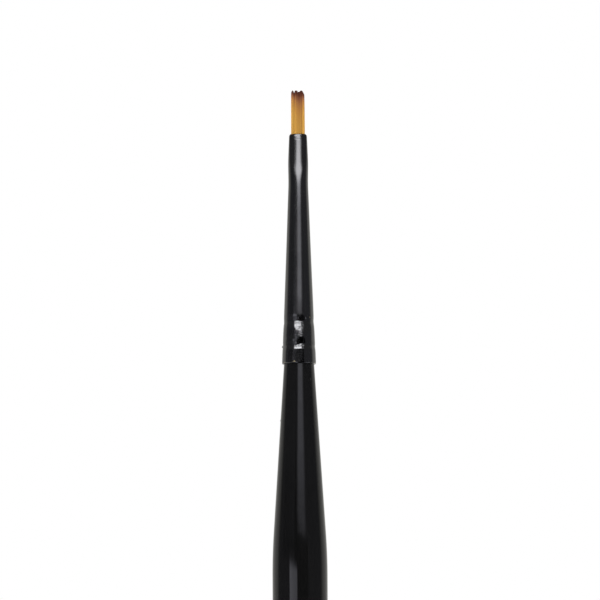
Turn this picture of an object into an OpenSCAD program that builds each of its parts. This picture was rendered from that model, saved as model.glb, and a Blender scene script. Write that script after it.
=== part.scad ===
// Fine detail brush with a short lacquered handle and a small flat tuft.
// The brush stands along Z with its tuft up, and X runs along the flat tuft's width.
// The origin is the middle of the handle's belly, on the brush's centre line.

/* [Handle] */
// Diameter of the belly, the thickest part, where the brush is held
belly_d = 6.48; // [6.2:0.02:8]
// Length of the belly's straight cylinder
belly_length = 10; // [6:0.5:14]
// Length of the neck, from the belly up to the ferrule
neck_length = 25; // [22:0.5:35]
// Length of the arc that eases the neck's cone into the belly
neck_ease = 5; // [2:0.5:8]
// Length of the tail, from the belly down to the butt
tail_length = 112.3; // [80:0.1:200]
// Diameter of the tail at the butt
tail_d = 3; // [2.4:0.1:5]
// Where the tail thins: 1 is half way down, less is nearer the belly
tail_bias = 0.8; // [0.6:0.05:1]
// Thickness of the lacquer coat
coat_t = 0.1; // [0.06:0.01:0.15]
// How much the turned core swells at the middle of the belly, under the coat
core_crown = 0.02; // [0.01:0.01:0.04]
// Length of the wooden tenon inside the ferrule
tenon_length = 12; // [8:0.5:14]

/* [Ferrule] */
// Length of the ferrule
ferrule_length = 27.4; // [26:0.2:30]
// Thickness of the ferrule's wall
wall_t = 0.2; // [0.15:0.01:0.25]
// Outer diameter of the straight skirt at the lower end
skirt_d = 4; // [3.95:0.01:4.2]
// Height of the skirt
skirt_h = 1.1; // [0.8:0.1:1.2]
// Outer diameter at the foot of the crimped stretch
shoulder_d = 3.89; // [3.8:0.01:3.92]
// Outer diameter at the top of the crimped stretch
throat_d = 3.5; // [3.4:0.01:3.6]
// Outer diameter where the flattened tip begins
press_d = 2.37; // [2.3:0.01:2.5]
// Depth of the upper crimp
upper_crimp_depth = 0.1; // [0.05:0.01:0.12]
// Depth of the lower crimp
lower_crimp_depth = 0.07; // [0.05:0.01:0.12]
// Radius of the wheel edge that rolls the crimps
crimp_tool_r = 1.3; // [1:0.1:1.8]

/* [Flattened tip] */
// How much wider than a round tube the tip is pressed
spread = 0.118; // [0:0.01:0.15]
// Slope of each pressed face towards the centre line
press_slope = 0.083; // [0.06:0.005:0.09]
// Height of the rolled lip round the mouth
lip_h = 0.25; // [0.15:0.05:0.35]
// Width of the mouth's opening
mouth_w = 1.58; // [1.5:0.02:1.6]
// Thickness of the mouth's opening
mouth_t = 1.02; // [0.9:0.02:1.1]

/* [Tuft] */
// Length of the bristles outside the ferrule
tuft_length = 5.3; // [4:0.1:9]
// Width of the tuft
tuft_w = 1.55; // [1.4:0.01:1.56]
// Thickness of the tuft at the mouth
tuft_t = 0.98; // [0.8:0.02:1]
// Thickness of the tuft at its chisel edge
edge_t = 0.45; // [0.2:0.05:0.6]
// Height of the bending centre above the mouth
bend_h = 0.7; // [0.6:0.05:1]
// Length of the bristle roots inside the ferrule
root_length = 8.8; // [8:0.1:9.5]
// Diameter of the tied root bundle
root_d = 1.3; // [1.2:0.02:1.4]

/* [Hidden] */
$fn = 72;

// Gaps between pieces that are bonded or potted together
bond_gap = 0.005;
glue_t = 0.12;
coat_overlap = 0.3;
neck_gap = 0.02;
neck_r = skirt_d / 2 - wall_t - neck_gap;

// Heights on the brush, from the belly's middle
belly_top = belly_length / 2;
ferrule_z = belly_top + neck_length;
mouth_z = ferrule_z + ferrule_length;
butt_z = -belly_top - tail_length;

// Heights on the ferrule, from its lower edge
shoulder_h = skirt_h + 0.5;
lower_crimp_h = 2.28;
upper_crimp_h = 5.04;
throat_h = 6.1;
press_h = 21;
spread_h = 24.6;
lip_inner_h = 0.35;

// The tube's outer radius at each height where its slope changes
tube_taper = (throat_d - press_d) / 2 / (press_h - throat_h);
tube_stations = [
    [0, skirt_d / 2],
    [skirt_h, skirt_d / 2],
    [shoulder_h, shoulder_d / 2],
    [throat_h, throat_d / 2],
    [press_h, press_d / 2],
    [ferrule_length, press_d / 2 - tube_taper * (ferrule_length - press_h)],
];

// Outline details
butt_steps = 10;
tail_steps = 40;
ease_steps = 8;
tip_sides = 48;
lip_steps = 4;
overlap = 0.1;

// Inner fill of the ferrule
plug_low_h = 15.5;
plug_high_h = 20.8;
root_low_h = ferrule_length - root_length;
thread_d = 0.12;
thread_pitch = 0.135;
thread_turns = 5;
tie_low_h = root_low_h + 0.45;
tie_steps = 24;
thread_sides = 8;

// Tuft outline
notch_w = 0.34;
notch_h = 0.6;
corner_w = 0.12;
corner_h = 0.3;
crown_edge_t = 0.66;

function ease(t) = let (u = min(max(t, 0), 1)) u * u * (3 - 2 * u);

function tube_r(h) = lookup(h, tube_stations);

// Half width and half thickness of the flattened tip at a height on the ferrule
function tip_a(h) = tube_r(h) * (1 + spread * ease((h - press_h) / (spread_h - press_h)));
function tip_b(h) = min(tube_r(h), tube_r(press_h + 1) - press_slope * (h - press_h - 1));

// Solid of the round tube, drawn in by an inset, between two heights on the ferrule
module tube_solid(inset, low, high) {
    inner_stations = [for (s = tube_stations) if (s[0] > low && s[0] < high) s];
    outline = concat(
        [[0, low], [tube_r(low) - inset, low]],
        [for (s = inner_stations) [s[1] - inset, s[0]]],
        [[tube_r(high) - inset, high], [0, high]]
    );
    difference() {
        rotate_extrude()
            polygon(outline);
        crimp_wheel(lower_crimp_h, lower_crimp_depth, inset);
        crimp_wheel(upper_crimp_h, upper_crimp_depth, inset);
    }
}

// Ring that the crimping wheel sweeps round the tube
module crimp_wheel(height, depth, inset) {
    rotate_extrude()
        translate([tube_r(height) + crimp_tool_r - depth, height])
            circle(r = crimp_tool_r + inset);
}

// Solid through oval rings, each given as [height, half width, half thickness]
module oval_loft(rings) {
    count = len(rings);
    points = [
        for (ring = rings, k = [0 : tip_sides - 1])
            let (angle = 360 * k / tip_sides)
            [ring[1] * cos(angle), ring[2] * sin(angle), ring[0]]
    ];
    low_face = [for (k = [0 : tip_sides - 1]) k];
    high_face = [for (k = [tip_sides - 1 : -1 : 0]) (count - 1) * tip_sides + k];
    side_faces = [
        for (i = [0 : count - 2], k = [0 : tip_sides - 1])
            let (a = i * tip_sides + k, b = i * tip_sides + (k + 1) % tip_sides)
            each [[a, a + tip_sides, b], [b, a + tip_sides, b + tip_sides]]
    ];
    polyhedron(points, concat([low_face], side_faces, [high_face]));
}

// Outer rings of the flattened tip, with the lip rolled in by a quarter round
function tip_rings() = concat(
    [for (h = [press_h - overlap, press_h])
        [h, tube_r(h) - bond_gap, tube_r(h) - bond_gap]],
    [for (h = [press_h + 0.4 : 0.4 : ferrule_length - lip_h]) [h, tip_a(h), tip_b(h)]],
    [for (i = [0 : lip_steps])
        let (angle = 90 * i / lip_steps,
             h = ferrule_length - lip_h * (1 - sin(angle)),
             roll = lip_h * 0.5 * (1 - cos(angle)))
        [h, tip_a(h) - roll, tip_b(h) - roll]]
);

// Inner rings of the flattened tip, drawn in to the mouth's opening
function bore_rings() = concat(
    [for (h = [press_h - overlap, press_h])
        [h, tube_r(h) - wall_t - bond_gap, tube_r(h) - wall_t - bond_gap]],
    [for (h = [press_h + 0.4 : 0.4 : ferrule_length - 2 * lip_inner_h])
        [h, tip_a(h) - wall_t, tip_b(h) - wall_t]],
    [for (h = [ferrule_length - lip_inner_h, ferrule_length + overlap])
        [h, mouth_w / 2, mouth_t / 2]]
);

// Handle outline as [radius, height] points, drawn in by an inset, with a crown at the belly's middle
function handle_outline(inset, crown = 0) = let (
    end_r = tail_d / 2,
    belly_r = belly_d / 2,
    tail_top = -belly_top,
    tail_low = butt_z + end_r,
    cone_slope = (belly_r - neck_r) / (neck_length - neck_ease / 2)
) concat(
    [for (i = [0 : butt_steps])
        let (angle = -90 + 90 * i / butt_steps)
        [(end_r - inset) * cos(angle), tail_low + (end_r - inset) * sin(angle)]],
    [for (i = [1 : tail_steps])
        let (t = i / tail_steps,
             fall = 0.5 + 0.5 * cos(180 * pow(1 - t, tail_bias)))
        [end_r + (belly_r - end_r) * fall - inset, tail_low + (tail_top - tail_low) * t]],
    crown == 0 ? [] : [[belly_r - inset + crown, 0]],
    [for (i = [0 : ease_steps])
        let (rise = neck_ease * i / ease_steps)
        [belly_r - cone_slope * rise * rise / neck_ease / 2 - inset, belly_top + rise]],
    [[neck_r - inset, ferrule_z]]
);

// Turned wooden core, with the tenon that the ferrule is crimped onto
module handle() {
    color("burlywood") {
        rotate_extrude()
            polygon(concat(handle_outline(coat_t + bond_gap, core_crown), [[0, ferrule_z]]));
        translate([0, 0, ferrule_z])
            tube_solid(wall_t + glue_t, -coat_overlap, tenon_length);
    }
}

// Gloss black lacquer, a thin skin over the whole bare length of the wood
module handle_lacquer() {
    color([0.05, 0.05, 0.055])
        difference() {
            union() {
                rotate_extrude()
                    polygon(concat(handle_outline(0), [[0, ferrule_z]]));
                translate([0, 0, ferrule_z - overlap])
                    cylinder(h = coat_overlap + overlap, r = neck_r);
            }
            rotate_extrude()
                polygon(concat(handle_outline(coat_t, core_crown), [[0, ferrule_z]]));
            translate([0, 0, ferrule_z - overlap])
                cylinder(h = 1, r = skirt_d / 2 - wall_t - glue_t + bond_gap);
        }
}

// Seamless tapered tube with two rolled crimps and a flattened tip
module ferrule() {
    color([0.12, 0.12, 0.13])
        translate([0, 0, ferrule_z])
            difference() {
                union() {
                    tube_solid(0, 0, press_h);
                    oval_loft(tip_rings());
                }
                tube_solid(wall_t, -overlap, press_h);
                oval_loft(bore_rings());
            }
}

// Adhesive that fills the space between the tenon and the ferrule
module tenon_glue() {
    color([0.9, 0.86, 0.7])
        translate([0, 0, ferrule_z])
            difference() {
                tube_solid(wall_t + bond_gap, coat_overlap + neck_gap, tenon_length);
                tube_solid(wall_t + glue_t - bond_gap, 0, tenon_length + overlap);
            }
}

// Resin poured in behind the tuft, which locks the tied roots in the ferrule
module epoxy_plug() {
    tie_top_h = tie_low_h + thread_pitch * thread_turns;
    color([0.75, 0.6, 0.3])
        translate([0, 0, ferrule_z])
            difference() {
                tube_solid(wall_t + bond_gap, plug_low_h, plug_high_h);
                translate([0, 0, root_low_h - bond_gap])
                    cylinder(h = plug_high_h, r = root_d / 2 + bond_gap);
                translate([0, 0, tie_low_h - thread_d])
                    cylinder(h = tie_top_h - tie_low_h + 2 * thread_d,
                             r = root_d / 2 + thread_d + 3 * bond_gap);
            }
}

// Thread wound round the root bundle in one close helix
module root_tie() {
    helix_r = root_d / 2 + thread_d / 2 + bond_gap;
    rings = tie_steps * thread_turns;
    points = [
        for (i = [0 : rings], k = [0 : thread_sides - 1])
            let (turn = 360 * i / tie_steps,
                 side = 360 * k / thread_sides,
                 r = helix_r + thread_d / 2 * cos(side),
                 z = tie_low_h + thread_pitch * i / tie_steps + thread_d / 2 * sin(side))
            [r * cos(turn), r * sin(turn), z]
    ];
    first_face = [for (k = [thread_sides - 1 : -1 : 0]) k];
    last_face = [for (k = [0 : thread_sides - 1]) rings * thread_sides + k];
    side_faces = [
        for (i = [0 : rings - 1], k = [0 : thread_sides - 1])
            let (a = i * thread_sides + k, b = i * thread_sides + (k + 1) % thread_sides)
            each [[a, b, a + thread_sides], [b, b + thread_sides, a + thread_sides]]
    ];
    color("ivory")
        translate([0, 0, ferrule_z])
            polyhedron(points, concat([first_face], side_faces, [last_face]));
}

// Held length of the bristles: round where it is tied, oval at the mouth
module bristle_roots() {
    top_h = ferrule_length - 0.1;
    neck_h = plug_high_h + 0.2;
    rings = concat(
        [[root_low_h, root_d / 2, root_d / 2]],
        [for (h = [neck_h : (top_h - neck_h) / 10 : top_h + 0.01])
            let (blend = ease((h - neck_h) / (spread_h - neck_h)))
            [h,
             root_d / 2 * (1 - blend) + tuft_w / 2 * blend,
             root_d / 2 * (1 - blend) + tuft_t / 2 * blend]]
    );
    color("goldenrod")
        translate([0, 0, ferrule_z])
            oval_loft(rings);
}

// Free length of the bristles, a crowned chisel with a rounded heel at the bending centre
module bristle_tuft() {
    color("goldenrod")
        translate([0, 0, mouth_z])
            intersection() {
                tuft_front();
                tuft_side();
                tuft_plan();
            }
}

// Front outline: straight sides, a soft left corner and a worn right corner
module tuft_front() {
    half_w = tuft_w / 2;
    rotate([90, 0, 0])
        linear_extrude(height = 2 * tuft_t, center = true)
            polygon([
                [-half_w, 0],
                [half_w, 0],
                [half_w, tuft_length - notch_h],
                [half_w - notch_w, tuft_length],
                [-half_w + corner_w, tuft_length],
                [-half_w, tuft_length - corner_h],
            ]);
}

// Side outline: a wedge on a round heel
module tuft_side() {
    rotate([90, 0, 90])
        linear_extrude(height = 2 * tuft_w, center = true) {
            translate([0, bend_h])
                circle(d = tuft_t);
            polygon([
                [-tuft_t / 2, bend_h],
                [tuft_t / 2, bend_h],
                [edge_t / 2, tuft_length],
                [-edge_t / 2, tuft_length],
            ]);
        }
}

// Plan outline: two shallow arcs that crown the broad faces
module tuft_plan() {
    rise = (tuft_t - crown_edge_t) / 2;
    crown_r = (pow(tuft_w / 2, 2) + rise * rise) / rise / 2;
    linear_extrude(height = tuft_length)
        intersection() {
            translate([0, tuft_t / 2 - crown_r])
                circle(r = crown_r);
            translate([0, crown_r - tuft_t / 2])
                circle(r = crown_r);
            square([tuft_w, tuft_t], center = true);
        }
}

handle();
handle_lacquer();
ferrule();
tenon_glue();
epoxy_plug();
root_tie();
bristle_roots();
bristle_tuft();
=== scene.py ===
"""Looks of a fine detail brush: gloss black handle, satin black ferrule, tuft of single bristles."""
import math
import random

import bpy
import numpy as np
from mathutils import Matrix, Vector


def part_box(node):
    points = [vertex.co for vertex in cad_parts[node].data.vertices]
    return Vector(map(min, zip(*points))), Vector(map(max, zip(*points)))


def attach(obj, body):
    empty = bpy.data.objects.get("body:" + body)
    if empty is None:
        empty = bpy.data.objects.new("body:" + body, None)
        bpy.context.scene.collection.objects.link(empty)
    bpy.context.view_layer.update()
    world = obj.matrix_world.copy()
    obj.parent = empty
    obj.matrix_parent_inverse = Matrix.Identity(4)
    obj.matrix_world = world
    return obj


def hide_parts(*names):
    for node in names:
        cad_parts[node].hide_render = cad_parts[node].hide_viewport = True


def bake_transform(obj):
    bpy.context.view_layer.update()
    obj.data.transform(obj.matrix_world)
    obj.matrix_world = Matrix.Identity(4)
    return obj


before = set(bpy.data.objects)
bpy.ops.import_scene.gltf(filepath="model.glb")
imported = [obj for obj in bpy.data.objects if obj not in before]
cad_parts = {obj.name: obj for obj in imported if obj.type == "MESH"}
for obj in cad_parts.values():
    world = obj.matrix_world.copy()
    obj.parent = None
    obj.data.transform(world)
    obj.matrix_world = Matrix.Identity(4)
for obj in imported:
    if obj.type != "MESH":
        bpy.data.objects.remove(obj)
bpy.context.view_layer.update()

# Sizes below are in millimetres, and meshes are made in metres.
MM = 0.001

coat_low, coat_high = (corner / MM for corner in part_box("handle_lacquer"))
ferrule_low, ferrule_high = (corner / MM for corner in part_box("ferrule"))
roots_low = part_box("bristle_roots")[0] / MM
tuft_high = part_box("bristle_tuft")[1] / MM

# Handle: a straight belly, a long tail with a round butt, and a cone up to the ferrule
belly_r = coat_high.x
butt_z = coat_low.z
coat_top_z = coat_high.z
belly_top = 5.0
neck_ease = 5.0
neck_r = 1.78
tail_end_r = 1.5
tail_bias = 0.8
coat_t = 0.1

# Ferrule: a thin tube with a rolled lip round an oval mouth
ferrule_z = ferrule_low.z
mouth_z = ferrule_high.z
ferrule_length = mouth_z - ferrule_z
wall_t = 0.2
lip_h = 0.32
lip_roll = 0.15
mouth_half_w = 0.82
mouth_half_t = 0.5
oval_power = 2.3
edge_r = 0.05

# Tuft: single bristles, tied into a round bundle at their roots, which opens to the mouth's oval
tuft_half_w = tuft_high.x
tuft_half_t = tuft_high.y
tuft_length = tuft_high.z - mouth_z
root_z = roots_low.z
tied_r = 0.6
bundle_opens = 20.9
opening_length = 3.7
bristle_d = 0.08
bristle_gap = 0.0911
tip_d = 0.045
bristle_sides = 8

chance = random.Random(7)


def ease(t):
    """Smooth step from 0 to 1, for numbers and arrays."""
    u = np.clip(t, 0.0, 1.0)
    return u * u * (3 - 2 * u)


def smooth_curve(stations, at):
    """Cubic curve through [position, value] stations, flat beyond both ends."""
    xs = np.array([s[0] for s in stations], float)
    ys = np.array([s[1] for s in stations], float)
    chord = np.diff(ys) / np.diff(xs)
    slopes = np.zeros(len(xs))
    same_way = chord[:-1] * chord[1:] > 0
    both = np.where(same_way, chord[:-1] + chord[1:], 1.0)
    slopes[1:-1] = np.where(same_way, 2 * chord[:-1] * chord[1:] / both, 0.0)
    slopes[0], slopes[-1] = chord[0], chord[-1]
    at = np.clip(np.asarray(at, float), xs[0], xs[-1])
    i = np.clip(np.searchsorted(xs, at) - 1, 0, len(xs) - 2)
    step = xs[i + 1] - xs[i]
    t = (at - xs[i]) / step
    return (ys[i] * (1 + 2 * t) * (1 - t) ** 2 + ys[i + 1] * t * t * (3 - 2 * t)
            + step * slopes[i] * t * (1 - t) ** 2 - step * slopes[i + 1] * t * t * (1 - t))


# ---------------------------------------------------------------- mesh helpers

def mesh_object(name, points, faces, attributes=()):
    """Smooth-shaded object from points in mm, with float attributes on its points."""
    mesh = bpy.data.meshes.new(name)
    mesh.from_pydata((np.asarray(points, float) * MM).tolist(), [], faces)
    for attribute_name, values in dict(attributes).items():
        attribute = mesh.attributes.new(attribute_name, "FLOAT", "POINT")
        attribute.data.foreach_set("value", np.asarray(values, np.float32))
    mesh.polygons.foreach_set("use_smooth", np.ones(len(mesh.polygons), bool))
    mesh.update()
    piece = bpy.data.objects.new(name, mesh)
    bpy.context.scene.collection.objects.link(piece)
    return piece


def band_faces(rings, sides, first=0):
    """Quads that join each ring of points to the next one."""
    faces = []
    for i in range(rings - 1):
        low = first + i * sides
        for k in range(sides):
            after = (k + 1) % sides
            faces.append((low + k, low + after, low + sides + after, low + sides + k))
    return faces


def fan_faces(pole, ring_start, sides, upward):
    """Triangles from a pole point to a ring."""
    faces = []
    for k in range(sides):
        a, b = ring_start + k, ring_start + (k + 1) % sides
        faces.append((pole, b, a) if not upward else (pole, a, b))
    return faces


def finish_piece(piece, material):
    """Gives a piece its material."""
    piece.data.materials.clear()
    piece.data.materials.append(material)


# ---------------------------------------------------------------- node helpers

class Tree:
    """The nodes of a material or a world."""

    def __init__(self, owner):
        owner.use_nodes = True
        self.tree = owner.node_tree
        self.tree.nodes.clear()

    def add(self, kind, inputs=(), **settings):
        """Adds a node. Each input takes a value or another node's socket."""
        node = self.tree.nodes.new("ShaderNode" + kind)
        for name, value in settings.items():
            setattr(node, name, value)
        for name, value in dict(inputs).items():
            if isinstance(value, bpy.types.NodeSocket):
                self.tree.links.new(value, node.inputs[name])
            else:
                node.inputs[name].default_value = value
        return node

    def math(self, operation, *values):
        return self.add("Math", dict(enumerate(values)), operation=operation).outputs[0]

    def step(self, value, low, high, to_low=0.0, to_high=1.0):
        """Smooth step of a socket's value."""
        node = self.add("MapRange", {"Value": value, "From Min": low, "From Max": high,
                                     "To Min": to_low, "To Max": to_high},
                        interpolation_type="SMOOTHSTEP")
        return node.outputs["Result"]

    def ramp(self, value, stops):
        """Colour ramp through [position, (r, g, b)] stops, in linear colour."""
        node = self.add("ValToRGB", {"Fac": value})
        elements = node.color_ramp.elements
        while len(elements) < len(stops):
            elements.new(1.0)
        for element, (position, colour) in zip(elements, stops):
            element.position = position
            element.color = (*colour, 1.0)
        return node.outputs["Color"]

    def colour_mix(self, factor, first, second, blend):
        """Two colours blended by a factor."""
        node = self.tree.nodes.new("ShaderNodeMix")
        node.data_type = "RGBA"
        node.blend_type = blend
        for index, value in ((0, factor), (6, first), (7, second)):
            if isinstance(value, bpy.types.NodeSocket):
                self.tree.links.new(value, node.inputs[index])
            else:
                node.inputs[index].default_value = value
        return node.outputs[2]

    def place(self, scale):
        """Object coordinates, stretched by a scale for each axis."""
        node = self.add("Mapping", {"Vector": self.add("TexCoord").outputs["Object"],
                                    "Scale": scale})
        return node.outputs["Vector"]

    def noise(self, scale, detail=2.0, roughness=0.5):
        """Noise value from 0 to 1, with a scale in features per metre along each axis."""
        return self.add("TexNoise", {"Vector": self.place(scale), "Scale": 1.0,
                                     "Detail": detail, "Roughness": roughness}).outputs["Fac"]

    def bump(self, height, distance, normal=None):
        """Normal of a fine relief. The distance is its full height, in metres."""
        inputs = {"Height": height, "Distance": distance}
        if normal is not None:
            inputs["Normal"] = normal
        return self.add("Bump", inputs).outputs["Normal"]

    def surface(self, **inputs):
        """Principled shader with these inputs, joined to the output."""
        named = {name.replace("_", " "): value for name, value in inputs.items()}
        shader = self.add("BsdfPrincipled", named)
        self.add("OutputMaterial", {"Surface": shader.outputs[0]})


def linear(red, green, blue):
    """Linear colour of an sRGB colour given from 0 to 255."""
    def channel(value):
        v = value / 255
        return v / 12.92 if v <= 0.04045 else ((v + 0.055) / 1.055) ** 2.4
    return tuple(channel(v) for v in (red, green, blue))


# ---------------------------------------------------------------- camera and light

def make_camera():
    """Long lens, level with the lower handle and looking up a little."""
    data = bpy.data.cameras.new("camera")
    data.lens = 317
    data.sensor_width = 36
    camera = bpy.data.objects.new("camera", data)
    bpy.context.scene.collection.objects.link(camera)
    side_step = 0.000145
    place = Vector((side_step, -0.620, -0.035))
    aim = Vector((side_step, 0.0, 0.03763))
    roll = math.radians(-0.27)
    turn = (aim - place).to_track_quat("-Z", "Y").to_matrix() @ Matrix.Rotation(roll, 3, "Z")
    camera.matrix_world = Matrix.Translation(place) @ turn.to_4x4()
    bpy.context.scene.camera = camera


# Plain light cards and dark flags round the brush: azimuths from the front, elevations, how their top
# edge rises per degree of azimuth, radiance at the left and right edges, and edge softness, all in
# degrees but the radiance. Each one is laid over those before it. They and the key card are fitted to
# the photograph's highlights.
CARDS = [
    ("left_back_wall", (-258, -104), (-22, 45), 0.0, (0.92, 0.47), 9.0),
    ("right_back_wall", (104, 261), (-22, 45), 0.0, (0.47, 1.09), 11.0),
    ("low_right_flag", (-9, 42), (-32, 3.0), 0.0, (0.0, 0.0), 1.5),
    ("black_flag", (-25, 34), (-10, 11.4), -0.045, (0.0, 0.0), 0.4),
    ("low_left", (-44, -12), (-12, 2.7), 0.0, (0.26, 0.2), 1.2),
    ("low_left_strip", (-44, -12), (2.7, 4.4), -0.031, (1.8, 1.15), 1.2),
    ("left_flag", (-80, -23), (6.5, 10.8), 0.0, (0.06, 0.03), 1.6),
    ("top_light", (-40, 40), (40, 86), 0.0, (3.2, 3.2), 5.0),
    ("front_strip_below", (-34, -14), (-75, -16), 0.0, (1.0, 1.8), 4.0),
    ("right_strip_below", (66, 84), (-75, -19), 0.0, (1.7, 3.0), 4.0),
    ("back_strip_below", (150, 176), (-75, -9), 0.0, (2.4, 1.4), 5.0),
    ("left_strip_below", (-112, -92), (-75, -9), 0.0, (2.6, 1.6), 5.0),
]
# Key card in front: its left and right edges, their softness and its radiance, each by elevation
KEY_LEFT = [(10.5, -14.0), (11.6, -14.5), (12.1, -14.0), (12.6, -11.0), (13.3, -8.5), (14.0, -9.0),
            (16.5, -15.0), (18.5, -16.5), (20.0, -21.0), (22.0, -34.0)]
KEY_RIGHT = [(12.0, 24.5), (18.0, 25.5), (19.0, 28.0), (20.0, 24.0), (21.0, 19.0)]
KEY_SOFTNESS = [(13.5, 5.5), (16.0, 10.5), (18.5, 10.5), (21.0, 6.0)]
KEY_CLIMB = [(10.5, 0.0), (11.0, 0.2), (11.5, 0.3), (11.9, 0.5), (12.1, 0.58), (12.5, 0.8), (13.3, 1.12),
             (14.3, 2.3), (15.5, 2.15), (16.5, 2.1), (17.2, 2.5), (18.0, 3.1), (20.0, 5.2), (22.5, 7.0),
             (29.5, 7.0), (32.0, 0.0)]
ROOM_GREY = 0.1
# Colour of the front light low down and high up, and of the light from behind an azimuth
LIGHT_TINT = (0.95, 0.955, 1.07)
HIGH_TINT = (0.985, 0.98, 1.02)
WALL_TINT = (1.0, 0.99, 0.95)
WALL_EDGE = 96.0


def light_studio():
    """Soft light cards drawn on a grey room by direction, with plain white behind the brush."""
    world = bpy.data.worlds.new("studio")
    bpy.context.scene.world = world
    tree = Tree(world)
    axes = tree.add("SeparateXYZ", {0: tree.add("TexCoord").outputs["Generated"]})
    x, y, z = axes.outputs
    azimuth = tree.math("DEGREES", tree.math("ARCTAN2", x, tree.math("MULTIPLY", y, -1.0)))
    elevation = tree.math("DEGREES", tree.math("ARCSINE", z))

    def rise(value, edge, softness):
        """0 below an edge and 1 above it, smooth between."""
        return tree.step(tree.math("DIVIDE", tree.math("SUBTRACT", value, edge), softness), -1.0, 1.0)

    def window(value, low, high, softness):
        """1 between two limits, with smooth edges."""
        return tree.math("MULTIPLY", rise(value, low, softness), rise(high, value, softness))

    def by_elevation(stops):
        """Value through [elevation, value] stops, straight between them. No value is below 0."""
        lowest, highest = stops[0][0], stops[-1][0]
        largest = max(value for _, value in stops)
        share = tree.math("DIVIDE", tree.math("SUBTRACT", elevation, lowest), highest - lowest)
        line = tree.ramp(share, [((at - lowest) / (highest - lowest), (value / largest,) * 3)
                                 for at, value in stops])
        return tree.math("MULTIPLY", line, largest)

    def lay_card(under, card):
        """Radiance with one more card laid over it."""
        _, azimuths, (lowest, highest), slant, (left_value, right_value), softness = card
        top = tree.math("MULTIPLY_ADD", azimuth, slant, highest)
        mask = tree.math("MULTIPLY", window(azimuth, *azimuths, softness),
                         window(elevation, lowest, top, softness))
        slope = (right_value - left_value) / (azimuths[1] - azimuths[0])
        value = tree.math("MULTIPLY_ADD", azimuth, slope, left_value - slope * azimuths[0])
        return tree.math("MULTIPLY_ADD", mask, tree.math("SUBTRACT", value, under), under)

    key_left = tree.math("MULTIPLY", by_elevation([(at, -left) for at, left in KEY_LEFT]), -1.0)
    softness = by_elevation(KEY_SOFTNESS)
    key_mask = tree.math("MULTIPLY", rise(azimuth, key_left, softness),
                         rise(by_elevation(KEY_RIGHT), azimuth, tree.math("MULTIPLY", softness, 1.4)))
    radiance = tree.math("MULTIPLY_ADD", key_mask, by_elevation(KEY_CLIMB), ROOM_GREY)
    for card in CARDS:
        radiance = lay_card(radiance, card)

    behind = tree.step(tree.math("ABSOLUTE", azimuth), WALL_EDGE - 5, WALL_EDGE + 5)
    front_tint = tree.colour_mix(tree.step(elevation, 13.5, 16.0), (*LIGHT_TINT, 1.0), (*HIGH_TINT, 1.0),
                                 "MIX")
    tint = tree.colour_mix(behind, front_tint, (*WALL_TINT, 1.0), "MIX")
    light = tree.add("Background", {"Color": tint, "Strength": radiance})
    white = tree.add("Background", {"Color": (1.0, 1.0, 1.0, 1.0), "Strength": 1.0})
    seen = tree.add("LightPath").outputs["Is Camera Ray"]
    both = tree.add("MixShader", {0: seen, 1: light.outputs[0], 2: white.outputs[0]})
    tree.add("OutputWorld", {"Surface": both.outputs[0]})
    bpy.context.scene.view_settings.view_transform = "Standard"


def make_floor():
    """Pale round floor under the butt. It glows a little, and glossy pieces don't mirror it."""
    sides = 96
    radius = 3000.0
    angles = np.linspace(0, 2 * np.pi, sides, endpoint=False)
    points = [(radius * math.cos(a), radius * math.sin(a), butt_z) for a in angles]
    floor = mesh_object("floor", points, [tuple(range(sides))])
    material = bpy.data.materials.new("pale_floor")
    tree = Tree(material)
    grain = tree.noise((900, 900, 900), 3.0)
    tree.surface(Base_Color=tree.ramp(grain, [(0.3, (0.87, 0.86, 0.78)), (0.7, (0.9, 0.89, 0.81))]),
                 Roughness=0.9, Emission_Color=(1.0, 1.0, 1.0, 1.0), Emission_Strength=0.16)
    floor.data.materials.append(material)
    floor.visible_glossy = False


# ---------------------------------------------------------------- handle

def handle_radius(z):
    """Outer radius of the lacquered handle at heights above its rounded butt."""
    cone_slope = (belly_r - neck_r) / (ferrule_z - belly_top - neck_ease / 2)
    tail_low = butt_z + tail_end_r
    t = np.clip((z - tail_low) / (-belly_top - tail_low), 0, 1)
    fall = 0.5 + 0.5 * np.cos(np.pi * (1 - t) ** tail_bias)
    tail = tail_end_r + (belly_r - tail_end_r) * fall
    rise = z - belly_top
    eased = belly_r - cone_slope * rise * rise / neck_ease / 2
    cone = belly_r - cone_slope * (rise - neck_ease / 2)
    above = np.where(rise < neck_ease, eased, np.maximum(cone, neck_r))
    return np.where(z < -belly_top, tail, np.where(rise < 0, belly_r, above))


# Specks of dust under the lacquer: distance below the ferrule, degrees from the front, radius, height
SPECKS = [
    (1.92, 41.5, 0.17, 0.07),
    (6.84, 25.8, 0.14, 0.05),
    (7.08, -15.7, 0.11, 0.018),
    (6.70, -88.0, 0.17, 0.06),
    (7.90, 63.0, 0.13, 0.055),
]


def marks_height(marks, z, azimuth, radius):
    """Height of small round marks on a turned surface. Each is at a height z and an azimuth."""
    height = np.zeros_like(azimuth)
    for at, degrees, width, rise in marks:
        across = (azimuth - math.radians(degrees)) * radius
        along = z - at
        height += rise * np.exp(-(across ** 2 + along ** 2) / (0.45 * width) ** 2)
    return height


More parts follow.
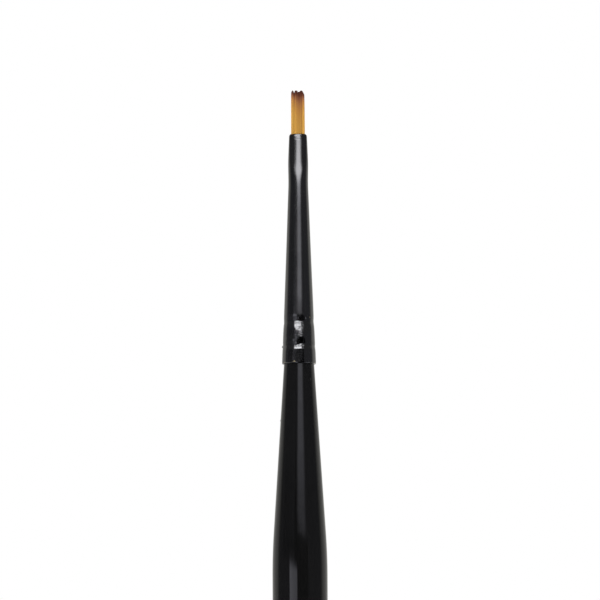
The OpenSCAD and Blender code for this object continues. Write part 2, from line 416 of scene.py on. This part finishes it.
def make_handle_coat():
    """Shell of gloss lacquer: the outside from the butt to the ferrule, then the inside back down."""
    sides = 160
    tail_low = butt_z + tail_end_r
    specks = [(ferrule_z - below, *rest) for below, *rest in SPECKS]
    speck_low, speck_high = ferrule_z - 8.6, ferrule_z - 1.2
    heights = np.concatenate([
        np.linspace(tail_low, -belly_top, 110, endpoint=False),
        np.linspace(-belly_top, speck_low, 56, endpoint=False),
        np.linspace(speck_low, speck_high, 124, endpoint=False),
        np.linspace(speck_high, ferrule_z, 12),
    ])
    azimuth = np.linspace(-np.pi, np.pi, sides, endpoint=False)
    turns = np.array([np.sin(azimuth), -np.cos(azimuth)]).T

    def ring(z, radius):
        spread = np.broadcast_to(np.asarray(radius, float), (sides,))
        return np.column_stack([turns * spread[:, None], np.full(sides, z)])

    def butt_rings(inset, steps=12):
        end_r = tail_end_r - inset
        return [ring(tail_low - end_r * math.cos(a), end_r * math.sin(a))
                for a in np.linspace(0, math.pi / 2, steps, endpoint=False)[1:]]

    outside = butt_rings(0.0)
    for z in heights:
        radius = float(handle_radius(z))
        outside.append(ring(z, radius + marks_height(specks, z, azimuth, radius)))
    outside.append(ring(coat_top_z - 0.02, neck_r))
    outside.append(ring(coat_top_z, neck_r - 0.02))
    inside = [ring(coat_top_z, neck_r - coat_t + 0.01)]
    for z in np.linspace(ferrule_z, tail_low, 90):
        inside.append(ring(z, float(handle_radius(z)) - coat_t))
    inside += butt_rings(coat_t)[::-1]
    rings = outside + inside
    points = np.concatenate(rings + [np.array([[0, 0, butt_z], [0, 0, butt_z + coat_t]])])
    faces = band_faces(len(rings), sides)
    poles = len(rings) * sides
    faces += fan_faces(poles, 0, sides, False)
    faces += fan_faces(poles + 1, poles - sides, sides, True)
    coat = mesh_object("handle_coat", points, faces)
    finish_piece(coat, gloss_lacquer())
    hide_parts("handle_lacquer")
    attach(coat, "brush")


def gloss_lacquer():
    """Dipped black lacquer: deep gloss, faint orange peel and long dip runs."""
    material = bpy.data.materials.new("gloss_lacquer")
    tree = Tree(material)
    cloud = tree.noise((260, 260, 90), 3.0)
    colour = tree.ramp(cloud, [(0.3, (0.0044, 0.0044, 0.0045)), (0.7, (0.0062, 0.0062, 0.0063))])
    dull = tree.step(tree.noise((1500, 1500, 400), 4.0), 0.35, 0.75, 0.05, 0.09)
    peel = tree.bump(tree.noise((750, 750, 500), 2.0), 2.5e-6)
    runs = tree.bump(tree.noise((300, 300, 60), 1.0), 1.2e-5, peel)
    tree.surface(Base_Color=colour, Roughness=dull, Normal=runs, IOR=1.47)
    return material


# ---------------------------------------------------------------- ferrule

# The tube's outer radius by height above its lower edge, without its crimps
TUBE = [(0.0, 2.0), (0.5, 1.996), (1.1, 1.976), (1.6, 1.956), (6.1, 1.748), (7.56, 1.691),
        (11.0, 1.555), (15.0, 1.403), (19.0, 1.257), (21.0, 1.18), (27.4, 0.943)]
# Depth of each crimp in front, by height above the tube's lower edge
UPPER_CRIMP = [(2.3, 0.0), (2.9, 0.02), (3.3, 0.008), (3.8, 0.004), (4.2, 0.014), (4.6, 0.056),
               (4.95, 0.112), (5.15, 0.102), (5.45, 0.04), (5.8, 0.014), (6.4, 0.006), (7.4, 0.0)]
LOWER_CRIMP = [(1.54, 0.0), (1.66, 0.012), (1.9, 0.05), (2.1, 0.086), (2.24, 0.082), (2.5, 0.03),
               (2.85, 0.0)]
# Small knocks: height above the lower edge, degrees from the front, radius, height (below 0 in a dent)
KNOCKS = [
    (2.05, -90.0, 0.22, 0.11),
    (0.30, -82.0, 0.20, -0.09),
    (0.30, 80.0, 0.22, -0.09),
    (5.35, 26.0, 0.14, 0.03),
]
# Height of the ridge between the crimps, and of the fine rumples on them, in front
RIDGE_HEIGHT = 0.085
RUMPLE_HEIGHT = 0.0022
# Skirt: its top, its radius in front at the lower edge, how fast that falls, and its share of the
# roughness elsewhere
SKIRT_TOP = 1.5
SKIRT_FRONT_R = 1.968
SKIRT_FRONT_FALL = 0.018
SKIRT_ROUGHNESS = 0.8
# Worn spots, where the black coat is off the brass: height, degrees from the front, radius
WORN = [
    (0.16, -17.0, 0.16),
    (0.10, -60.0, 0.13),
    (0.12, 71.0, 0.1),
    (2.1, -92.0, 0.13),
    (5.45, 43.0, 0.09),
]
# Flattened tip: where it starts, its slope there and at the mouth, the radius of its crown by height,
# and the roundness of its edges
PRESS_START = 21.8
PRESS_SLOPE = (0.09, 0.07)
PRESS_CROWN = [(21.8, 1.75), (22.2, 2.0), (22.5, 2.05), (22.9, 1.86), (23.4, 1.46), (23.9, 1.22),
               (24.5, 1.14), (25.6, 1.12), (26.6, 1.12), (27.4, 1.05)]
PRESS_SOFT = 0.04
# Where the tip starts to spread sideways, over what length, and how much wider it gets
SPREAD_START = 21.0
SPREAD_LENGTH = 3.6
SPREAD = 0.118
# Fine rings turned under the lip: their heights, depth and half width
TURNED = (26.78, 27.02)
TURNED_DEPTH = 0.003
TURNED_HALF_W = 0.035


def straight_curve(stations, at):
    return np.interp(at, [s[0] for s in stations], [s[1] for s in stations])


def tube_radius(h):
    return smooth_curve(TUBE, h)


def front_share(azimuth, centre, reach):
    """1 at an azimuth, falling smoothly to 0 a reach away, in degrees."""
    away = np.abs((np.degrees(azimuth) - centre + 180) % 360 - 180)
    return 1 - ease(away / reach)


def crimped_radius(h, azimuth):
    """Outer radius of the ferrule's round part.

    Waves and chatter make its two crimps uneven. In front, the upper crimp's lower edge slants, a ridge
    stands between the crimps, both are slightly rumpled, and the skirt is straightened. These fine
    shapes are fitted to the photograph's highlights, which do not show them directly.
    """
    radius = np.full_like(azimuth, float(tube_radius(h)))
    around = 0.12 + 0.88 * np.maximum(front_share(azimuth, 10, 150), front_share(azimuth, 190, 70))
    wave = 0.035 * np.sin(3 * azimuth + 0.6) + 0.02 * np.sin(7 * azimuth)
    chatter = 0.02 * np.sin(31 * azimuth + 0.9) + 0.014 * np.sin(47 * azimuth + 2.0)
    slant = 1.1 * np.sin(azimuth) * front_share(azimuth, 0, 80) * (1 - float(ease((h - 4.0) / 0.8)))
    upper = around * smooth_curve(UPPER_CRIMP, h + wave + chatter + slant)
    lower = around * smooth_curve(LOWER_CRIMP, h - wave + 1.2 * chatter)
    rumple = (np.sin(19 * h + 23 * azimuth) + np.sin(26 * h - 17 * azimuth + 1.3)
              + np.sin(9 * h + 39 * azimuth + 2.2))
    crimps_front = front_share(azimuth, 0, 60) * float(ease((h - 1.7) / 0.5) * ease((5.4 - h) / 0.5))
    between = float(ease((h - 2.5) / 0.6) * ease((4.4 - h) / 0.6))
    ridge = RIDGE_HEIGHT * front_share(azimuth, 9, 38) * between
    radius = radius - upper - lower + ridge - RUMPLE_HEIGHT * crimps_front * rumple
    skirt_front = SKIRT_FRONT_R - SKIRT_FRONT_FALL * h
    flatten = front_share(azimuth, 0, 75) * (1 - ease((h - SKIRT_TOP) / 0.3))
    radius = radius - flatten * np.maximum(radius - skirt_front, 0)
    return radius + marks_height(KNOCKS, h, azimuth, radius)


def tip_section(h, azimuth, inset=0.0):
    """Points round the tube at a height, as x and y, drawn in by an inset. Its tip is flattened."""
    radius = crimped_radius(h, azimuth) - inset
    x = radius * np.sin(azimuth)
    y = -radius * np.cos(azimuth)
    up = h - PRESS_START
    bend = (PRESS_SLOPE[0] - PRESS_SLOPE[1]) / (ferrule_length - PRESS_START) / 2
    flat = float(tube_radius(PRESS_START)) - PRESS_SLOPE[0] * up + bend * up * up - inset
    press = flat - x * x / 2 / float(smooth_curve(PRESS_CROWN, h))
    depth = np.abs(y)
    pressed = (depth + press - np.sqrt((depth - press) ** 2 + PRESS_SOFT ** 2)) / 2
    pressed = depth - (depth - pressed) * float(ease((up + 3.0) / 2.0))
    width = 1 + SPREAD * ease((h - SPREAD_START) / SPREAD_LENGTH)
    return x * width, np.sign(y) * pressed


def oval(azimuth, half_w, half_t):
    """Points round the mouth's full oval, as x and y."""
    power = 2 / oval_power
    across, deep = np.sin(azimuth), -np.cos(azimuth)
    return np.column_stack([half_w * np.sign(across) * np.abs(across) ** power,
                            half_t * np.sign(deep) * np.abs(deep) ** power])


def make_ferrule():
    """Thin tube: up its outside, over the rolled lip, down its inside and round the lower edge."""
    sides = 192
    azimuth = np.linspace(-np.pi, np.pi, sides, endpoint=False)

    def ring(h, inset=0.0):
        x, y = tip_section(h, azimuth, inset)
        return np.column_stack([x, y, np.full(sides, ferrule_z + h)])

    def turned(h):
        """Depth of the fine rings turned under the lip."""
        return sum(TURNED_DEPTH * math.exp(-((h - at) / TURNED_HALF_W) ** 2) for at in TURNED)

    outer_heights = np.concatenate([
        np.linspace(edge_r, 1.4, 20, endpoint=False),
        np.linspace(1.4, 6.2, 160, endpoint=False),
        np.linspace(6.2, 17.0, 24, endpoint=False),
        np.linspace(17.0, 26.6, 90, endpoint=False),
        np.linspace(26.6, ferrule_length - lip_h, 28, endpoint=False),
    ])
    rings = [ring(h, turned(h)) for h in outer_heights]
    for angle in np.linspace(0, math.pi / 2, 9):
        h = ferrule_length - lip_h * (1 - math.sin(angle))
        rings.append(ring(h, lip_roll * (1 - math.cos(angle))))
    mouth = oval(azimuth, mouth_half_w, mouth_half_t)
    lip_top = rings[-1]
    for share, drop in ((0.5, 0.02), (0.85, 0.07), (1.0, 0.16), (1.0, 0.35)):
        flat = lip_top[:, :2] * (1 - share) + mouth * share
        rings.append(np.column_stack([flat, np.full(sides, mouth_z - drop)]))
    for h in np.linspace(ferrule_length - 0.7, edge_r, 60):
        rings.append(ring(h, wall_t))
    for angle in np.linspace(0, math.pi, 7)[1:-1]:
        middle = wall_t / 2
        rings.append(ring(edge_r * (1 - math.sin(angle)), middle + middle * math.cos(angle)))
    rings.append(rings[0])
    points = np.concatenate(rings[:-1])
    count = len(rings) - 1
    faces = band_faces(count, sides)
    last = (count - 1) * sides
    for k in range(sides):
        after = (k + 1) % sides
        faces.append((last + k, last + after, after, k))
    tube = mesh_object("ferrule_tube", points, faces, {"wear": worn_share(points)})
    finish_piece(tube, satin_metal())
    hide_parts("ferrule")
    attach(tube, "brush")


def worn_share(points):
    """How much of the black coat is off the ferrule at each point."""
    azimuth = np.arctan2(points[:, 0], -points[:, 1])
    around = azimuth * np.hypot(points[:, 0], points[:, 1])
    skirt_r = TUBE[0][1]
    wear = np.zeros(len(points))
    for h, degrees, width in WORN:
        across = around - math.radians(degrees) * skirt_r
        along = points[:, 2] - ferrule_z - h - 0.3 * across ** 2
        wear += np.exp(-((0.6 * across) ** 2 + (2.4 * along) ** 2) / width ** 2)
    return wear


def satin_metal():
    """Black coated brass with fine drawn lines, uneven satin and a few worn spots.

    The skirt is a little smoother than the rest, fitted to how dark it looks in the photograph.
    """
    material = bpy.data.materials.new("satin_metal")
    tree = Tree(material)
    drawn = tree.noise((9000, 9000, 120), 3.0, 0.6)
    patches = tree.noise((900, 900, 500), 3.0)
    colour = tree.ramp(patches, [(0.3, (0.001, 0.001, 0.0012)), (0.7, (0.002, 0.002, 0.0022))])
    dull = tree.step(patches, 0.3, 0.7, 0.125, 0.145)
    height = tree.add("SeparateXYZ", {0: tree.add("TexCoord").outputs["Object"]}).outputs[2]
    smoother = tree.step(height, (ferrule_z + 1.4) * MM, (ferrule_z + 1.8) * MM, SKIRT_ROUGHNESS, 1.0)
    wear = tree.add("Attribute", attribute_name="wear").outputs["Fac"]
    flakes = tree.noise((14000, 14000, 14000), 2.0)
    bare = tree.step(tree.math("MULTIPLY", wear, flakes), 0.32, 0.42)
    colour = tree.colour_mix(bare, colour, (*linear(222, 206, 162), 1.0), "MIX")
    lines = tree.bump(drawn, 4e-7)
    uneven = tree.bump(patches, 3e-6, lines)
    around = tree.add("Tangent", direction_type="RADIAL", axis="Z").outputs[0]
    tree.surface(Base_Color=colour, Metallic=tree.math("MULTIPLY", bare, 0.4),
                 Roughness=tree.math("MULTIPLY", dull, smoother), Normal=uneven, IOR=2.2,
                 Anisotropic=0.45, Anisotropic_Rotation=0.25, Tangent=around)
    return material


# ---------------------------------------------------------------- bristles

# The tuft's clumps: name, place of its first and last bristle at the mouth, its peak at the tip
CLUMPS = [
    ("bristles_left", -1.0, -0.44, -0.64),
    ("bristles_mid_left", -0.44, -0.04, -0.25),
    ("bristles_mid_right", -0.04, 0.22, 0.1),
    ("bristles_right", 0.22, 1.0, 0.43),
]
# Height of the tips across the tuft, as a distance below the highest ones
TIP_LINE = [(-0.80, 0.30), (-0.72, 0.08), (-0.64, 0.0), (-0.54, 0.06), (-0.44, 0.40), (-0.36, 0.10),
            (-0.25, 0.0), (-0.10, 0.03), (0.0, 0.14), (0.1, 0.2), (0.24, 0.14), (0.32, 0.04),
            (0.43, 0.0), (0.52, 0.04), (0.78, 0.58)]
# Places across the tuft where a shallow furrow parts the bristles
FURROWS = (-0.46, 0.02, 0.4)
# Painted shade across the tuft: how light the bristles are by place, darker along the furrows between
# clumps and towards both sides. It shows fully at the tips, and half at the mouth.
PAINTED_SHADE_ACROSS = [(-0.80, 0.9), (-0.72, 1.02), (-0.54, 1.0), (-0.42, 0.84), (-0.24, 0.98), (-0.06, 0.92),
           (0.10, 0.82), (0.24, 1.02), (0.42, 0.86), (0.60, 1.0), (0.72, 0.9), (0.80, 0.74)]


def bristle_places():
    """Places of the bristles in the mouth, packed in hexagons inside its oval."""
    row_gap = bristle_gap * math.sqrt(3) / 2
    half_w = mouth_half_w - 0.005 - bristle_d / 2
    half_t = tuft_half_t - bristle_d / 2
    rows = int(half_t / row_gap)
    columns = int(half_w / bristle_gap) + 1
    places = []
    for row in range(-rows, rows + 1):
        for column in range(-columns, columns + 1):
            x = (column + 0.5 - 0.5 * (row % 2)) * bristle_gap
            y = row * row_gap
            if abs(x / half_w) ** oval_power + abs(y / half_t) ** oval_power <= 1:
                places.append((x, y))
    return places


def bristle_line(x, y, peak):
    """Centre line of one bristle, as [x, y, z] from its root to its tip."""
    jitter = 0.15 * (bristle_gap - bristle_d)
    x += chance.uniform(-jitter, jitter)
    y += chance.uniform(-jitter, jitter)
    tip_x = peak + (x - peak) * 0.86
    furrow = sum(math.exp(-((x - at) / 0.05) ** 2) for at in FURROWS)
    tip_y = y * (0.48 - 0.12 * furrow) + chance.uniform(-0.02, 0.02)
    top = mouth_z + tuft_length - float(straight_curve(TIP_LINE, tip_x))
    top -= abs(chance.gauss(0, 0.045)) + 0.02
    sway = chance.uniform(0.0, 0.02)
    phase = chance.uniform(0, 2 * math.pi)
    bundle = tied_r / np.array([tuft_half_w, tuft_half_t])
    line = []
    held = np.linspace(root_z, mouth_z - 0.1, 9)
    free = np.linspace(mouth_z, top, 18)
    for z in np.concatenate([held, free]):
        opening = float(ease((z - ferrule_z - bundle_opens) / opening_length))
        share = opening + (1 - opening) * bundle
        rise = max(z - mouth_z, 0) / tuft_length
        gather = rise ** 9
        thin = rise ** 1.3
        sideways = sway * math.sin(phase + 2.2 * rise) * rise
        line.append((x * share[0] * (1 - gather) + tip_x * gather + sideways,
                     y * share[1] * (1 - thin) + tip_y * thin + 0.5 * sideways,
                     z))
    return np.array(line)


def bristle_mesh(line):
    """Points and faces of one bristle round its line, tapering to a fine closed tip."""
    top = line[-1, 2]
    down = top - line[:, 2]
    thick = smooth_curve([(0.0, tip_d), (0.1, 0.055), (0.6, 0.064), (1.6, 0.072), (3.2, bristle_d)], down)
    angles = np.linspace(0, 2 * np.pi, bristle_sides, endpoint=False)
    circle = np.column_stack([np.cos(angles), np.sin(angles), np.zeros(bristle_sides)])
    points = (line[:, None, :] + circle[None] * thick[:, None, None] / 2).reshape(-1, 3)
    ends = np.array([line[0] - (0, 0, 0.01), line[-1] + (0, 0, 0.012)])
    points = np.concatenate([points, ends])
    faces = band_faces(len(line), bristle_sides)
    bottom = len(line) * bristle_sides
    faces += fan_faces(bottom, 0, bristle_sides, False)
    faces += fan_faces(bottom + 1, bottom - bristle_sides, bristle_sides, True)
    return points, faces, np.maximum(top - points[:, 2], 0)


def dye_length(x):
    """How far the dark dye reaches down from the tips, by place across the tuft."""
    stations = [(-0.8, 0.55), (-0.3, 0.85), (0.0, 1.25), (0.45, 1.3), (0.62, 0.8), (0.8, 0.55)]
    return float(straight_curve(stations, x))


def make_bristles():
    """One piece for each clump, made of single bristles that run from the tied root to the tip."""
    material = golden_filament()
    places = bristle_places()
    for name, low, high, peak in CLUMPS:
        points, faces, dye, shade = [], [], [], []
        total = 0
        for x, y in places:
            if not low <= x < high:
                continue
            line = bristle_line(x, y, peak)
            own_points, own_faces, tip_distance = bristle_mesh(line)
            points.append(own_points)
            faces += [tuple(i + total for i in face) for face in own_faces]
            reach = dye_length(x) * chance.uniform(0.85, 1.15)
            dye.append(tip_distance / reach)
            rise = np.clip((own_points[:, 2] - mouth_z) / tuft_length, 0, 1)
            # Painted shade: darker along the furrows between clumps and at the tuft's sides, times a
            # random tone for each bristle.
            painted_shade = float(straight_curve(PAINTED_SHADE_ACROSS, x)) - 1
            shade.append((1 + painted_shade * (0.5 + 0.5 * rise)) * chance.uniform(0.8, 1.16))
            total += len(own_points)
        clump = mesh_object(name, np.concatenate(points), faces,
                            {"dye": np.concatenate(dye), "shade": np.concatenate(shade)})
        finish_piece(clump, material)
        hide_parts("bristle_roots", "bristle_tuft")
        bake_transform(clump)


def golden_filament():
    """Golden synthetic hair with dark dyed tips. Each bristle has its own slight shade, and painted shade
    darkens the furrows between clumps and the tuft's sides.
    """
    material = bpy.data.materials.new("golden_filament")
    tree = Tree(material)
    dye = tree.add("Attribute", attribute_name="dye").outputs["Fac"]
    shade = tree.add("Attribute", attribute_name="shade").outputs["Fac"]
    reach = 5.0
    along = tree.math("DIVIDE", dye, reach)
    stops = [
        (0.0, linear(84, 40, 26)),
        (0.35 / reach, linear(107, 55, 34)),
        (0.6 / reach, linear(141, 85, 57)),
        (0.9 / reach, linear(172, 113, 71)),
        (1.3 / reach, linear(196, 136, 77)),
        (2.0 / reach, linear(214, 155, 77)),
        (3.0 / reach, linear(225, 169, 80)),
        (4.5 / reach, linear(230, 177, 82)),
    ]
    colour = tree.ramp(along, stops)
    # The shade attribute darkens the colour: each bristle's own tone, and the painted shade of the
    # furrows and sides.
    tint = tree.add("CombineXYZ", {0: shade, 1: shade, 2: shade}).outputs[0]
    colour = tree.colour_mix(1.0, colour, tint, "MULTIPLY")
    ridges = tree.bump(tree.noise((30000, 30000, 900), 2.0), 4e-7)
    tree.surface(Base_Color=colour, Roughness=0.5, Normal=ridges, IOR=1.45, Specular_IOR_Level=0.25)
    return material


# ---------------------------------------------------------------- hidden pieces

def bare_wood():
    """Pale turned wood with fine lengthwise grain."""
    material = bpy.data.materials.new("turned_wood")
    tree = Tree(material)
    grain = tree.noise((2600, 2600, 45), 5.0, 0.62)
    colour = tree.ramp(grain, [(0.3, linear(168, 126, 78)), (0.5, linear(205, 168, 116)),
                               (0.7, linear(224, 192, 144))])
    tree.surface(Base_Color=colour, Roughness=tree.step(grain, 0.3, 0.7, 0.7, 0.55),
                 Normal=tree.bump(grain, 1.2e-5))
    return material


def set_resin(name, pale, deep, roughness):
    """Set glue or resin with small bubbles and clouds."""
    material = bpy.data.materials.new(name)
    tree = Tree(material)
    cloud = tree.noise((1400, 1400, 1400), 4.0)
    bubbles = tree.add("TexVoronoi", {"Vector": tree.place((5000, 5000, 5000)), "Scale": 1.0})
    colour = tree.ramp(cloud, [(0.3, deep), (0.7, pale)])
    dents = tree.bump(tree.step(bubbles.outputs["Distance"], 0.0, 0.35), 1.5e-5)
    tree.surface(Base_Color=colour, Normal=dents,
                 Roughness=tree.step(cloud, 0.3, 0.7, roughness, roughness + 0.12))
    return material


def twisted_thread():
    """Ivory thread with slanting plies."""
    material = bpy.data.materials.new("twisted_thread")
    tree = Tree(material)
    plies = tree.add("TexWave", {"Vector": tree.place((9000, 9000, 26000)), "Scale": 0.5,
                                 "Distortion": 1.5}, bands_direction="DIAGONAL").outputs["Fac"]
    colour = tree.ramp(plies, [(0.2, linear(196, 184, 152)), (0.8, linear(240, 232, 208))])
    tree.surface(Base_Color=colour, Roughness=tree.step(plies, 0.0, 1.0, 0.9, 0.75),
                 Normal=tree.bump(plies, 6e-6))
    return material


def dress_hidden_nodes():
    """Materials of the CAD pieces that stay as they are, inside the brush."""
    materials = {
        "handle": bare_wood(),
        "tenon_glue": set_resin("set_wood_glue", linear(238, 230, 200), linear(214, 200, 160), 0.6),
        "epoxy_plug": set_resin("set_epoxy", linear(206, 170, 96), linear(176, 132, 60), 0.18),
        "root_tie": twisted_thread(),
    }
    for node, material in materials.items():
        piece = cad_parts[node]
        piece.data.materials.clear()
        piece.data.materials.append(material)


make_camera()
light_studio()
make_floor()
make_handle_coat()
make_ferrule()
make_bristles()
dress_hidden_nodes()
